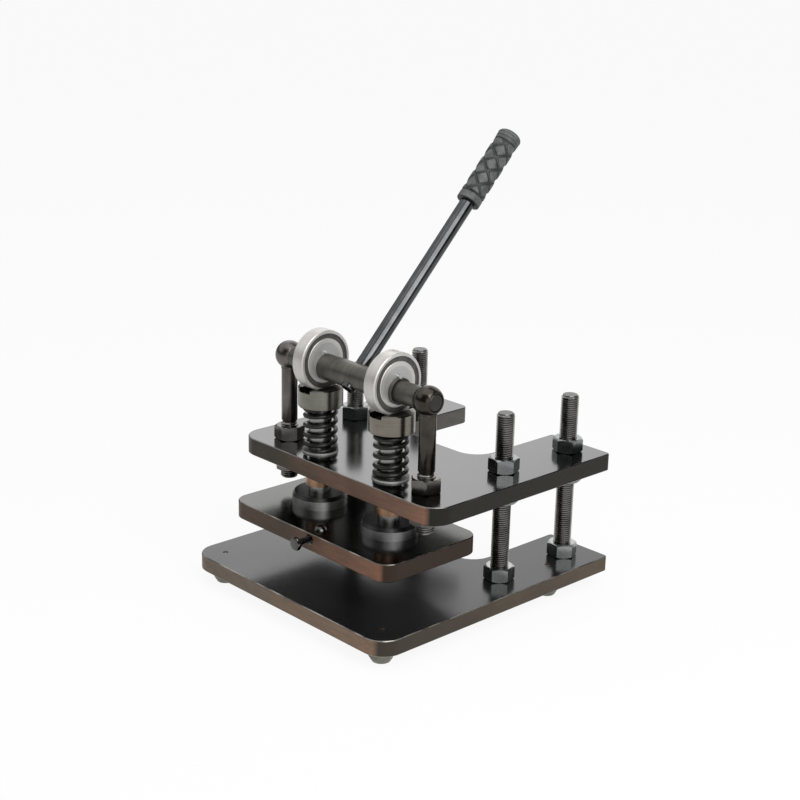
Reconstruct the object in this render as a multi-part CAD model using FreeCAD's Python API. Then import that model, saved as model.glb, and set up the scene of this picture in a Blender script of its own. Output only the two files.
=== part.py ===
import FreeCAD, Part
import math
import os

from FreeCAD import Vector

# Hand press for steel-rule dies. Millimetres and degrees throughout.
# The origin lies on the floor under the middle of the base plate.
# +X runs along the eccentric shaft to the right, -Y is the operator's side, +Z is up.

# Base plate and top plate, both U-shaped with their arms to the back
plate_width = 318.0
plate_front_radius = 25.0
plate_arm_radius = 4.0
plate_bevel = 0.8
throat_width = 144.0
throat_radius = 27.0
throat_front_y = 42.0
base_depth = 353.0
base_thickness = 18.0
top_depth = 277.6
top_back_setback = 7.2
top_left_arm_extra = 8.5
top_left_arm_radius = 9.0
top_thickness = 20.0
frame_gap = 106.5

# Feet under the base plate
foot_flats = 24.0
foot_height = 16.0
foot_face = 20.0
foot_bevel_angle = 60.0
foot_stud_diameter = 6.0
foot_stud_recess = 1.0
foot_side_inset = 27.5
foot_front_inset = 25.5
foot_rear_inset = 73.0

# Columns and the nuts on them
column_diameter = 20.0
column_length = 209.5
column_chamfer = 2.0
column_seat_depth = 17.0
column_side_inset = 38.3
column_rear_inset = 29.6
column_spacing = 105.0
nut_flats = 30.0
nut_height = 16.0
hex_bevel_angle = 30.0
hex_face_share = 0.95
lock_nut_turns = (8.0, -13.0, 41.0, -7.0)
upper_nut_turns = (18.0, -10.0, 33.0, 30.0)
under_nut_turns = (22.0, -18.0, -18.0, -20.0)

# Eye bolts that carry the shaft
eye_side_inset = 47.5
eye_inset = 34.8
eye_ball_diameter = 32.0
eye_width = 22.0
eye_shank_diameter = 18.2
eye_neck_diameter = 19.4
eye_neck_length = 2.0
eye_relief_diameter = 16.0
eye_relief_length = 5.0
eye_thread_diameter = 20.0
eye_thread_above = 1.5
eye_thread_below = 10.0
eye_chamfer = 1.5
eye_top_nut_turns = (-10.0, 18.0)
eye_under_nut_turns = (25.0, 3.0)

# Eccentric shaft
shaft_height = 98.5
shaft_middle_diameter = 29.0
shaft_seat_diameter = 24.0
shaft_outer_diameter = 23.8
journal_diameter = 20.0
shaft_chamfer = 1.5
eccentricity = 6.5
collar_diameter = 29.0
collar_width = 5.0
pin_diameter = 5.0
pin_radius = 15.5
pin_reach = 4.0

# Ball bearings on the eccentrics
bearing_outer = 68.0
bearing_bore = 40.0
bearing_width = 17.0
bearing_chamfer = 1.0
inner_ring_outer = 50.0
outer_ring_inner = 58.0
ball_diameter = 7.9
ball_circle = 54.0
ball_count = 12
groove_play = 0.1
cage_wall = 1.6
cage_width = 11.0
cage_pocket_play = 0.25
seal_step = 61.0
seal_thickness = 1.2
seal_recess = 0.8
seal_lip_gap = 0.4
seal_ridge_diameter = 58.0
seal_ridge_width = 0.6
seal_ridge_height = 0.4

# Lever
lever_angle = 46.4
lever_diameter = 17.0
lever_tail = 17.0
lever_reach = 329.0
lever_chamfer = 1.0
grip_start = 235.5
grip_diameter = 27.5
grip_body_diameter = 26.4
grip_collar_length = 10.0
grip_rim_diameter = 28.4
grip_rim_length = 7.0
grip_end_wall = 2.5
grip_end_round = 3.0

# Plungers, their guide bushes, springs and caps
plunger_x = 57.5
plunger_diameter = 25.0
plunger_exposed = 113.5
plunger_in_cap = 12.0
plunger_chamfer = 1.0
bush_wall = 3.45
bush_projection = 19.5
spring_washer_diameter = 40.6
spring_washer_bore = 26.0
spring_washer_thickness = 2.0
spring_wire = 5.0
spring_diameter = 34.0
spring_closed_pitch = 5.5
spring_active_turns = 3
spring_start_angles = (-40.0, 108.0)
cap_diameter = 50.0
cap_floor = 18.7
cap_slot_depth = 4.3
cap_bevel = 1.2
flange_diameter = 62.0
flange_height = 14.0
flange_bevel_height = 4.0
flange_bevel_width = 2.5

# Press plate, its screws and the die stud
press_width = 256.0
press_depth = 138.0
press_front_overhang = 70.0
press_thickness = 20.0
press_corner_radius = 18.0
plunger_screw_diameter = 10.0
plunger_screw_head = 20.0
plunger_screw_head_height = 5.5
plunger_screw_depth = 15.0
socket_flats = 6.0
socket_depth = 3.0
die_screw_x = 7.5
die_screw_chamfer = 1.0
stud_diameter = 8.0
stud_front_inset = 15.0
stud_head_diameter = 14.0
stud_head_height = 4.4
stud_head_rim = 0.8
stud_head_flat = 7.0
stud_socket_flats = 5.0
stud_socket_depth = 2.4
stud_depth = 15.0
clamp_depth = 7.0
clamp_diameter = 8.0
clamp_head_flats = 13.0
clamp_head_height = 5.3
clamp_head_offset = 16.0
clamp_engagement = 5.6
clamp_mouth_diameter = 11.5

# Clearances. Radial ones are given per side.
thread_clearance = 0.05
running_clearance = 0.05
seat_clearance = 0.03
column_clearance = 0.5
screw_clearance = 0.1
roller_gap = 0.3
shaft_end_play = 0.3
slot_clearance = 0.6
spring_seat_gap = 0.2
blind_hole_margin = 1.0

# Heights worked out from the driving sizes
base_top_z = foot_height + base_thickness
top_under_z = base_top_z + frame_gap
top_z = top_under_z + top_thickness
shaft_z = top_z + shaft_height
eccentric_z = shaft_z + eccentricity
slot_floor_z = eccentric_z - bearing_outer / 2 - roller_gap
cap_under_z = slot_floor_z - cap_floor
cap_top_z = slot_floor_z + cap_slot_depth
press_top_z = cap_under_z - plunger_exposed
press_under_z = press_top_z - press_thickness
spring_under_z = top_z + spring_washer_thickness + spring_seat_gap
spring_height = cap_under_z - spring_seat_gap - spring_under_z

# Places in plan worked out from the driving sizes
base_front_y = -base_depth / 2
base_back_y = base_depth / 2
top_back_y = base_back_y - top_back_setback
top_front_y = top_back_y - top_depth
shaft_y = top_front_y + eye_inset
rear_column_y = top_back_y - column_rear_inset
front_column_y = rear_column_y - column_spacing
column_x = plate_width / 2 - column_side_inset
foot_x = plate_width / 2 - foot_side_inset
eye_x = plate_width / 2 - eye_side_inset
press_front_y = shaft_y - press_front_overhang
stud_y = press_front_y + stud_front_inset
bearing_face_x = plunger_x + bearing_width / 2
shoulder_x = plunger_x - bearing_width / 2
journal_x = eye_x - eye_width / 2 - shaft_end_play
shaft_end_x = eye_x + eye_width / 2 + shaft_end_play

SIDES = (("left", -1), ("right", 1))
ALONG_X = Vector(1, 0, 0)
ALONG_Y = Vector(0, 1, 0)
ALONG_Z = Vector(0, 0, 1)
FULL_TURN = 360
CUT_MARGIN = 1.0


# General shapes, all built along +Z from the origin

def turned(profile):
    """Solid of revolution about Z from (radius, height) points."""
    points = [Vector(radius, 0, height) for radius, height in profile]
    outline = Part.makePolygon(points + points[:1])
    return Part.Face(outline).revolve(Vector(), ALONG_Z, FULL_TURN)


def cylinder(diameter, low, high):
    """Round bar between two heights."""
    return Part.makeCylinder(diameter / 2, high - low, Vector(0, 0, low))


def tube(outer, inner, low, high):
    """Round tube between two heights."""
    bore = cylinder(inner, low - CUT_MARGIN, high + CUT_MARGIN)
    return cylinder(outer, low, high).cut(bore)


def chamfered_bar(diameter, low, high, low_chamfer, high_chamfer):
    """Round bar with a 45 degree chamfer at both ends."""
    radius = diameter / 2
    return turned([
        (0, low),
        (radius - low_chamfer, low),
        (radius, low + low_chamfer),
        (radius, high - high_chamfer),
        (radius - high_chamfer, high),
        (0, high)])


def hexagonal_bar(flats, height):
    """Plain six-sided bar with a corner on +X."""
    corner = flats / math.sqrt(3)
    sixth = math.pi / 3
    points = []
    for k in range(6):
        points.append(Vector(corner * math.cos(k * sixth), corner * math.sin(k * sixth), 0))
    return Part.Face(Part.makePolygon(points + points[:1])).extrude(Vector(0, 0, height))


def end_cone(face_diameter, flats, height, angle):
    """Blank that turns the corners of a six-sided bar off at its lower end."""
    reach = flats
    rise = (reach - face_diameter / 2) * math.tan(math.radians(angle))
    return turned([
        (0, 0),
        (face_diameter / 2, 0),
        (reach, rise),
        (reach, rise + height),
        (0, rise + height)])


def hexagon(flats, height):
    """Six-sided bar whose corners are turned off at both ends, as on a nut."""
    face_diameter = flats * hex_face_share
    blank = end_cone(face_diameter, flats, height, hex_bevel_angle)
    bar = hexagonal_bar(flats, height).common(blank)
    upturned = blank.mirror(Vector(0, 0, height / 2), ALONG_Z)
    return bar.common(upturned)


def placed(shape, base, direction=ALONG_Z, spin=0):
    """Shape spun about its own Z, laid along direction and moved to base."""
    rotation = FreeCAD.Rotation(ALONG_Z, direction).multiply(FreeCAD.Rotation(ALONG_Z, spin))
    result = shape.copy()
    result.Placement = FreeCAD.Placement(base, rotation).multiply(shape.Placement)
    return result


def corner_arc(before, corner, after, radius):
    """Arc that rounds one corner of an outline."""
    back = (before - corner).normalize()
    ahead = (after - corner).normalize()
    half = back.getAngle(ahead) / 2
    run = radius / math.tan(half)
    depth = radius / math.sin(half) - radius
    middle = corner + (back + ahead).normalize() * depth
    return Part.Arc(corner + back * run, middle, corner + ahead * run)


def rounded_outline(corners):
    """Closed outline through (x, y, radius) corners, each rounded by its radius."""
    points = [Vector(x, y, 0) for x, y, radius in corners]
    arcs = []
    for k, (x, y, radius) in enumerate(corners):
        arcs.append(corner_arc(points[k - 1], points[k], points[(k + 1) % len(points)], radius))
    edges = []
    for k, arc in enumerate(arcs):
        edges.append(Part.LineSegment(arcs[k - 1].EndPoint, arc.StartPoint).toShape())
        edges.append(arc.toShape())
    return Part.Wire(edges)


def plate(corners, low, thickness):
    """Flat plate with bevelled upper and lower edges."""
    slab = Part.Face(rounded_outline(corners)).extrude(Vector(0, 0, thickness))
    rims = [edge for edge in slab.Edges if edge.BoundBox.ZLength < thickness / 2]
    return placed(slab.makeChamfer(plate_bevel, rims), Vector(0, 0, low))


def u_plate(front_y, back_y, low, thickness, left_extra, left_radius):
    """Plate with a throat open to the back; its left arm can be wider and rounder at the inner end."""
    side = plate_width / 2
    throat = throat_width / 2
    return plate([
        (-side, front_y, plate_front_radius),
        (side, front_y, plate_front_radius),
        (side, back_y, plate_arm_radius),
        (throat, back_y, plate_arm_radius),
        (throat, throat_front_y, throat_radius),
        (left_extra - throat, throat_front_y, throat_radius),
        (left_extra - throat, back_y, left_radius),
        (-side, back_y, plate_arm_radius)], low, thickness)


def drilled(body, diameter, places, low, high):
    """Body with upright round holes between two heights."""
    for x, y in places:
        body = body.cut(placed(cylinder(diameter, low, high), Vector(x, y, 0)))
    return body


# Places of what repeats

def column_places():
    """Column axes: front left, front right, rear left, rear right."""
    return [(side * column_x, y) for y in (front_column_y, rear_column_y) for name, side in SIDES]


def foot_places():
    """Foot axes in the same order as the columns."""
    rows = (base_front_y + foot_front_inset, base_back_y - foot_rear_inset)
    return [(side * foot_x, y) for y in rows for name, side in SIDES]


def eye_places():
    """Eye bolt axes, left and right."""
    return [(side * eye_x, shaft_y) for name, side in SIDES]


def plunger_places():
    """Plunger axes, left and right."""
    return [(side * plunger_x, shaft_y) for name, side in SIDES]


CORNER_NAMES = ("front_left", "front_right", "rear_left", "rear_right")


# Fixed stand

def base_plate():
    """U-shaped base with tapped holes for the columns and the feet."""
    low = foot_height - CUT_MARGIN
    high = base_top_z + CUT_MARGIN
    body = u_plate(base_front_y, base_back_y, foot_height, base_thickness, 0.0, plate_arm_radius)
    body = drilled(body, column_diameter + 2 * thread_clearance, column_places(), low, high)
    return drilled(body, foot_stud_diameter + 2 * thread_clearance, foot_places(), low, high)


def column():
    """Threaded column, seated in the base plate."""
    low = base_top_z - column_seat_depth
    return chamfered_bar(column_diameter, low, low + column_length, column_chamfer, column_chamfer)


def foot():
    """Six-sided foot with its stud."""
    blank = end_cone(foot_face, foot_flats, foot_height, foot_bevel_angle)
    head = hexagonal_bar(foot_flats, foot_height).common(blank)
    stud = cylinder(foot_stud_diameter, foot_height / 2, base_top_z - foot_stud_recess)
    return head.fuse(stud).removeSplitter()


def nut(bore_for):
    """Six-sided nut, bored to run on a thread of the given diameter."""
    hole = cylinder(bore_for + 2 * thread_clearance, -CUT_MARGIN, nut_height + CUT_MARGIN)
    return hexagon(nut_flats, nut_height).cut(hole)


def nuts(places, low, turns, bore_for):
    """Group of equal nuts, each turned by its own angle."""
    blank = nut(bore_for)
    return Part.makeCompound([
        placed(blank, Vector(x, y, low), ALONG_Z, turn) for (x, y), turn in zip(places, turns)])


# Upper frame

def top_plate():
    """U-shaped top plate with its column, eye bolt and bush holes."""
    low = top_under_z - CUT_MARGIN
    high = top_z + CUT_MARGIN
    left_arm = (top_left_arm_extra, top_left_arm_radius)
    body = u_plate(top_front_y, top_back_y, top_under_z, top_thickness, *left_arm)
    body = drilled(body, column_diameter + 2 * column_clearance, column_places(), low, high)
    body = drilled(body, eye_thread_diameter + 2 * column_clearance, eye_places(), low, high)
    return drilled(body, bush_outer() + 2 * seat_clearance, plunger_places(), low, high)


def eye_bolt():
    """Eye bolt with a flattened ball, a cross bore for the journal and a threaded end."""
    radius = eye_ball_diameter / 2
    ball = Part.makeSphere(radius)
    slab = Part.makeBox(eye_width, 2 * radius, 2 * radius, Vector(-eye_width / 2, -radius, -radius))
    ball = ball.common(slab)
    relief_low = top_z + nut_height + eye_thread_above - shaft_z
    relief_high = relief_low + eye_relief_length
    thread_end = top_under_z - nut_height - eye_thread_below - shaft_z
    shank = eye_shank_diameter / 2
    relief = eye_relief_diameter / 2
    thread = eye_thread_diameter / 2
    stem = turned([
        (0, thread_end),
        (thread - eye_chamfer, thread_end),
        (thread, thread_end + eye_chamfer),
        (thread, relief_low),
        (relief, relief_low + (thread - relief)),
        (relief, relief_high - (shank - relief)),
        (shank, relief_high),
        (shank, -radius - eye_neck_length),
        (eye_neck_diameter / 2, -radius + eye_neck_length),
        (0, 0)])
    reach = 2 * shaft_height
    neck_slab = Part.makeBox(eye_width, 2 * radius, reach, Vector(-eye_width / 2, -radius, -reach))
    bore = placed(cylinder(journal_diameter + 2 * running_clearance, -radius, radius), Vector(), ALONG_X)
    return ball.fuse(stem.common(neck_slab)).cut(bore).removeSplitter()


def bush_outer():
    """Outer diameter of the guide bush."""
    return plunger_diameter + 2 * (running_clearance + bush_wall)


def bush():
    """Guide bush that stands out below the top plate."""
    bore = plunger_diameter + 2 * running_clearance
    return tube(bush_outer(), bore, top_under_z - bush_projection, top_z)


def spring_washer():
    """Flat washer under the return spring."""
    return tube(spring_washer_diameter, spring_washer_bore, top_z, top_z + spring_washer_thickness)


# Return spring: closed first and last turns, open turns between them

def spring_turns():
    """Number of turns, with one closed turn at each end."""
    return spring_active_turns + 2


def spring_pitch(turn):
    """Pitch in the turn that starts at a whole number."""
    closed = turn < 1 or turn >= spring_turns() - 1
    open_pitch = (spring_height - spring_wire - 2 * spring_closed_pitch) / spring_active_turns
    return spring_closed_pitch if closed else open_pitch


def spring_rise(turn):
    """Height of the wire's middle above its start after so many turns."""
    whole = int(min(turn, spring_turns() - 1))
    return sum(spring_pitch(k) for k in range(whole)) + (turn - whole) * spring_pitch(whole)


def spring_slope(turn):
    """Rise per turn at a point, halved between two pitches where they meet."""
    step = 0.25
    after = spring_pitch(min(turn, spring_turns() - step))
    before = spring_pitch(max(turn - step, 0))
    return (before + after) / 2


def spring_station(turn, start_angle):
    """Point on the wire's middle line and the direction of the wire there."""
    angle = math.radians(start_angle) + 2 * math.pi * turn
    radius = spring_diameter / 2
    point = Vector(radius * math.cos(angle), radius * math.sin(angle), spring_rise(turn))
    around = 2 * math.pi * radius
    direction = Vector(-around * math.sin(angle), around * math.cos(angle), spring_slope(turn))
    return point, direction.normalize()


def arc_middle(start, end, corner):
    """Middle point of the arc whose end tangents meet at corner."""
    middle = (start + end) * 0.5
    cosine = (end - start).Length / (2 * (corner - start).Length)
    return middle + (corner - middle) * (cosine / (1 + cosine))


def biarc(start, start_direction, end, end_direction):
    """Two arcs that leave start and reach end along the given directions."""
    span = end - start
    bend = 2 * (1 - start_direction.dot(end_direction))
    along = span.dot(start_direction + end_direction)
    reach = (math.sqrt(along * along + bend * span.dot(span)) - along) / bend
    first_corner = start + start_direction * reach
    second_corner = end - end_direction * reach
    joint = (first_corner + second_corner) * 0.5
    return [
        Part.Arc(start, arc_middle(start, joint, first_corner), joint),
        Part.Arc(joint, arc_middle(joint, end, second_corner), end)]


def spring_gap(start_angle):
    """Least clear distance between two turns of the spring, measured on points."""
    steps = 48
    points = [spring_station(k / steps, start_angle)[0] for k in range(spring_turns() * steps + 1)]
    gaps = []
    for k, point in enumerate(points):
        gaps.extend((point - other).Length for other in points[k + steps // 2:])
    return min(gaps) - spring_wire


def spring(start_angle):
    """Round wire wound on quarter-turn biarcs, as one unbroken tube."""
    quarters = spring_turns() * 4
    edges = []
    for k in range(quarters):
        start, start_direction = spring_station(k / 4, start_angle)
        end, end_direction = spring_station((k + 1) / 4, start_angle)
        edges.extend(arc.toShape() for arc in biarc(start, start_direction, end, end_direction))
    start, direction = spring_station(0, start_angle)
    section = Part.Wire([Part.Circle(start, direction, spring_wire / 2).toShape()])
    coil = Part.Wire(edges).makePipeShell([section], True, False)
    return placed(coil, Vector(0, 0, spring_under_z + spring_wire / 2))


# Eccentric shaft

def lever_direction():
    """Direction of the lever, leaning to the back at rest."""
    angle = math.radians(lever_angle)
    return Vector(0, math.cos(angle), math.sin(angle))


def shaft_point(x=0):
    """Point on the shaft's axis."""
    return Vector(x, shaft_y, shaft_z)


def eccentric_point(x):
    """Point on the axis of the bearings."""
    return Vector(x, shaft_y, eccentric_z)


def pin_bore():
    """Cutter for the drive pin, on the right-hand side."""
    low = shoulder_x - pin_reach
    high = bearing_face_x + collar_width + CUT_MARGIN
    hole = cylinder(pin_diameter + 2 * seat_clearance, low, high)
    return placed(hole, shaft_point() + Vector(0, 0, pin_radius), ALONG_X)


def mirrored(shape, side):
    """Right-hand shape, mirrored for the left-hand side."""
    return shape if side > 0 else shape.mirror(Vector(), ALONG_X)


def cam_shaft():
    """Stepped shaft with the lever's cross hole and the grooves of the drive pins."""
    middle = shaft_middle_diameter / 2
    seat = shaft_seat_diameter / 2
    outer = shaft_outer_diameter / 2
    journal = journal_diameter / 2
    half = turned([
        (0, 0),
        (middle, 0),
        (middle, shoulder_x),
        (seat, shoulder_x),
        (seat, bearing_face_x),
        (outer, bearing_face_x),
        (outer, journal_x),
        (journal, journal_x),
        (journal, shaft_end_x - shaft_chamfer),
        (journal - shaft_chamfer, shaft_end_x),
        (0, shaft_end_x)])
    half = placed(half, shaft_point(), ALONG_X).cut(pin_bore())
    body = half.fuse(mirrored(half, -1)).removeSplitter()
    hole = cylinder(lever_diameter + 2 * seat_clearance, -shaft_middle_diameter, shaft_middle_diameter)
    return body.cut(placed(hole, shaft_point(), lever_direction()))


def eccentric_hub():
    """Eccentric hub between the shaft and the inner ring of the bearing."""
    body = cylinder(bearing_bore - 2 * seat_clearance, -bearing_width / 2, bearing_width / 2)
    body = placed(body, eccentric_point(plunger_x), ALONG_X)
    bore = cylinder(shaft_seat_diameter + 2 * seat_clearance, -bearing_width, bearing_width)
    return body.cut(placed(bore, shaft_point(plunger_x), ALONG_X)).cut(pin_bore())


def hub_pin():
    """Drive pin that locks shaft, hub and collar together."""
    low = shoulder_x - pin_reach
    high = bearing_face_x + pin_reach
    return placed(cylinder(pin_diameter, low, high), shaft_point() + Vector(0, 0, pin_radius), ALONG_X)


def shaft_collar():
    """Collar that holds the hub against the shaft's shoulder."""
    bore = shaft_outer_diameter + 2 * seat_clearance
    ring = tube(collar_diameter, bore, bearing_face_x, bearing_face_x + collar_width)
    return placed(ring, shaft_point(), ALONG_X).cut(pin_bore())


def lever_rod():
    """Lever through the shaft."""
    bar = chamfered_bar(lever_diameter, -lever_tail, lever_reach, lever_chamfer, lever_chamfer)
    return placed(bar, shaft_point(), lever_direction())


def lever_grip():
    """Closed rubber grip with a plain collar and an end rim."""
    end = lever_reach + grip_end_wall
    body = grip_body_diameter / 2
    collar = grip_diameter / 2
    rim = grip_rim_diameter / 2
    shape = turned([
        (0, grip_start),
        (collar, grip_start),
        (collar, grip_start + grip_collar_length),
        (body, grip_start + grip_collar_length),
        (body, end - grip_rim_length),
        (rim, end - grip_rim_length),
        (rim, end - grip_end_round),
        (rim - grip_end_round, end),
        (0, end)])
    bore = cylinder(lever_diameter + 2 * seat_clearance, grip_start - CUT_MARGIN, lever_reach)
    return placed(shape.cut(bore), shaft_point(), lever_direction())


# Ball bearings

def ball_groove():
    """Ring-shaped cutter for the two raceways."""
    return Part.makeTorus(ball_circle / 2, ball_diameter / 2 + groove_play)


def bearing_inner_ring():
    """Inner ring with its raceway."""
    half = bearing_width / 2
    body = chamfered_bar(inner_ring_outer, -half, half, bearing_chamfer / 2, bearing_chamfer / 2)
    return body.cut(cylinder(bearing_bore, -bearing_width, bearing_width)).cut(ball_groove())


def bearing_outer_ring():
    """Outer ring with its raceway and a step for the seal on each face."""
    half = bearing_width / 2
    step = half - seal_recess - seal_thickness
    body = chamfered_bar(bearing_outer, -half, half, bearing_chamfer, bearing_chamfer)
    body = body.cut(cylinder(outer_ring_inner, -bearing_width, bearing_width))
    body = body.cut(cylinder(seal_step, step, bearing_width))
    body = body.cut(cylinder(seal_step, -bearing_width, -step))
    return body.cut(ball_groove())


def bearing_seals():
    """Two ring seals, each with a thin raised ridge."""
    face = bearing_width / 2 - seal_recess
    outer = seal_step - 2 * screw_clearance
    inner = inner_ring_outer + 2 * seal_lip_gap
    ring = tube(outer, inner, face - seal_thickness, face)
    ridge_outer = seal_ridge_diameter + seal_ridge_width
    ridge_inner = seal_ridge_diameter - seal_ridge_width
    ridge = tube(ridge_outer, ridge_inner, face - seal_thickness / 2, face + seal_ridge_height)
    seal = ring.fuse(ridge).removeSplitter()
    return Part.makeCompound([seal, seal.mirror(Vector(), ALONG_Z)])


def ball_angles():
    """Angles of the balls round the bearing."""
    return [FULL_TURN / ball_count * k for k in range(ball_count)]


def bearing_balls():
    """Row of balls."""
    ball = Part.makeSphere(ball_diameter / 2, Vector(ball_circle / 2, 0, 0))
    return Part.makeCompound([placed(ball, Vector(), ALONG_Z, angle) for angle in ball_angles()])


def bearing_cage():
    """Cage with a round pocket for each ball."""
    body = tube(ball_circle + cage_wall, ball_circle - cage_wall, -cage_width / 2, cage_width / 2)
    pocket = cylinder(ball_diameter + 2 * cage_pocket_play, ball_circle / 4, ball_circle)
    pocket = placed(pocket, Vector(), ALONG_X)
    for angle in ball_angles():
        body = body.cut(placed(pocket, Vector(), ALONG_Z, angle))
    return body


# Plungers and press plate

def plunger_rod():
    """Guide rod between the press plate and its cap."""
    bar = chamfered_bar(plunger_diameter, press_top_z, cap_under_z + plunger_in_cap, 0, plunger_chamfer)
    hole_top = press_top_z + plunger_screw_depth + blind_hole_margin
    hole = cylinder(plunger_screw_diameter + 2 * thread_clearance, press_top_z - CUT_MARGIN, hole_top)
    return bar.cut(hole)


def plunger_flange():
    """Round flange at the foot of the rod."""
    radius = flange_diameter / 2
    body = turned([
        (0, press_top_z),
        (radius, press_top_z),
        (radius, press_top_z + flange_height - flange_bevel_height),
        (radius - flange_bevel_width, press_top_z + flange_height),
        (0, press_top_z + flange_height)])
    high = press_top_z + flange_height + CUT_MARGIN
    return body.cut(cylinder(plunger_diameter + 2 * seat_clearance, press_top_z - CUT_MARGIN, high))


def plunger_cap():
    """Cap with the slot in which the bearing rolls."""
    body = chamfered_bar(cap_diameter, cap_under_z, cap_top_z, cap_bevel, cap_bevel)
    seat_top = cap_under_z + plunger_in_cap
    body = body.cut(cylinder(plunger_diameter + 2 * seat_clearance, cap_under_z - CUT_MARGIN, seat_top))
    width = bearing_width + 2 * slot_clearance
    corner = Vector(-width / 2, -cap_diameter, slot_floor_z)
    return body.cut(Part.makeBox(width, 2 * cap_diameter, 2 * cap_slot_depth, corner))


def countersink(play):
    """Shape of the countersunk head and shank, or of their hole where play is given."""
    head = plunger_screw_head / 2 + play
    shank = plunger_screw_diameter / 2 + play
    neck_z = press_under_z + plunger_screw_head_height
    tip_z = press_top_z + plunger_screw_depth
    return turned([
        (0, press_under_z),
        (head, press_under_z),
        (shank, neck_z),
        (shank, tip_z),
        (0, tip_z)])


def plunger_screw():
    """Countersunk screw that holds the rod from below."""
    socket = placed(hexagonal_bar(socket_flats, socket_depth), Vector(0, 0, press_under_z))
    return countersink(0).cut(socket)


def clamp_axis(y):
    """Point on the axis of the die clamp screw."""
    return Vector(die_screw_x, y, press_top_z - clamp_depth)


def press_plate():
    """Press plate with its screw holes."""
    side = press_width / 2
    back_y = press_front_y + press_depth
    body = plate([
        (-side, press_front_y, press_corner_radius),
        (side, press_front_y, press_corner_radius),
        (side, back_y, press_corner_radius),
        (-side, back_y, press_corner_radius)], press_under_z, press_thickness)
    for x, y in plunger_places():
        body = body.cut(placed(countersink(screw_clearance), Vector(x, y, 0)))
    stud_hole = stud_diameter + 2 * screw_clearance
    stud_floor = press_top_z - stud_depth - blind_hole_margin
    body = drilled(body, stud_hole, [(die_screw_x, stud_y)], stud_floor, press_top_z + CUT_MARGIN)
    hole = clamp_diameter + 2 * screw_clearance
    cross_hole = cylinder(hole, -CUT_MARGIN, stud_front_inset)
    mouth_depth = (clamp_mouth_diameter - hole) / 2
    mouth = turned([(0, 0), (clamp_mouth_diameter / 2, 0), (hole / 2, mouth_depth), (0, mouth_depth)])
    body = body.cut(placed(cross_hole, clamp_axis(press_front_y), ALONG_Y))
    return body.cut(placed(mouth, clamp_axis(press_front_y), ALONG_Y))


def die_stud_screw():
    """Button-head screw that holds the die from above."""
    rim = stud_head_diameter / 2
    flat = stud_head_flat / 2
    rise = stud_head_height - stud_head_rim
    middle_z = (flat ** 2 - rim ** 2 + stud_head_height ** 2 - stud_head_rim ** 2) / (2 * rise)
    dome = Part.makeSphere(math.hypot(rim, stud_head_rim - middle_z), Vector(0, 0, middle_z))
    head = cylinder(stud_head_diameter, 0, stud_head_height).common(dome)
    shank = chamfered_bar(stud_diameter, -stud_depth, stud_head_rim, die_screw_chamfer, 0)
    socket = hexagonal_bar(stud_socket_flats, 2 * stud_socket_depth)
    socket = placed(socket, Vector(0, 0, stud_head_height - stud_socket_depth))
    body = head.fuse(shank).cut(socket).removeSplitter()
    return placed(body, Vector(die_screw_x, stud_y, press_top_z))


def die_clamp_screw():
    """Hexagon screw in the front edge of the press plate."""
    length = clamp_head_offset + clamp_engagement
    head = hexagon(clamp_head_flats, clamp_head_height)
    overlap = clamp_head_height / 2
    shank = chamfered_bar(clamp_diameter, overlap, clamp_head_height + length, 0, die_screw_chamfer)
    body = head.fuse(shank).removeSplitter()
    head_y = press_front_y - clamp_head_offset - clamp_head_height
    return placed(body, clamp_axis(head_y), ALONG_Y)


# All pieces by name

def stand_pieces():
    """Base plate, columns, lock nuts and feet."""
    pieces = {"base_plate": base_plate()}
    pieces["base_lock_nuts"] = nuts(column_places(), base_top_z, lock_nut_turns, column_diameter)
    for name, (x, y) in zip(CORNER_NAMES, column_places()):
        pieces["column_" + name] = placed(column(), Vector(x, y, 0))
    for name, (x, y) in zip(CORNER_NAMES, foot_places()):
        pieces["foot_" + name] = placed(foot(), Vector(x, y, 0))
    return pieces


def upper_pieces():
    """Top plate with its nuts, eye bolts, bushes and springs."""
    under_z = top_under_z - nut_height
    pieces = {"top_plate": top_plate()}
    pieces["upper_nuts"] = nuts(column_places(), top_z, upper_nut_turns, column_diameter)
    pieces["under_nuts"] = nuts(column_places(), under_z, under_nut_turns, column_diameter)
    pieces["eye_bolt_top_nuts"] = nuts(eye_places(), top_z, eye_top_nut_turns, eye_thread_diameter)
    pieces["eye_bolt_under_nuts"] = nuts(eye_places(), under_z, eye_under_nut_turns, eye_thread_diameter)
    for (name, side), start_angle in zip(SIDES, spring_start_angles):
        middle = Vector(side * plunger_x, shaft_y, 0)
        pieces["eye_bolt_" + name] = placed(eye_bolt(), shaft_point(side * eye_x))
        pieces["bush_" + name] = placed(bush(), middle)
        pieces["spring_washer_" + name] = placed(spring_washer(), middle)
        pieces["return_spring_" + name] = placed(spring(start_angle), middle)
        print("least gap between turns,", name, "spring:", round(spring_gap(start_angle), 3), "mm")
    return pieces


def shaft_pieces():
    """Eccentric shaft with its hubs, bearings and lever."""
    pieces = {"cam_shaft": cam_shaft(), "lever_rod": lever_rod(), "lever_grip": lever_grip()}
    for name, side in SIDES:
        pieces["eccentric_hub_" + name] = mirrored(eccentric_hub(), side)
        pieces["hub_pin_" + name] = mirrored(hub_pin(), side)
        pieces["shaft_collar_" + name] = mirrored(shaft_collar(), side)
        middle = eccentric_point(side * plunger_x)
        pieces["bearing_inner_ring_" + name] = placed(bearing_inner_ring(), middle, ALONG_X)
        pieces["bearing_outer_ring_" + name] = placed(bearing_outer_ring(), middle, ALONG_X)
        pieces["bearing_seals_" + name] = placed(bearing_seals(), middle, ALONG_X)
        pieces["bearing_balls_" + name] = placed(bearing_balls(), middle, ALONG_X)
        pieces["bearing_cage_" + name] = placed(bearing_cage(), middle, ALONG_X)
    return pieces


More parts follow.
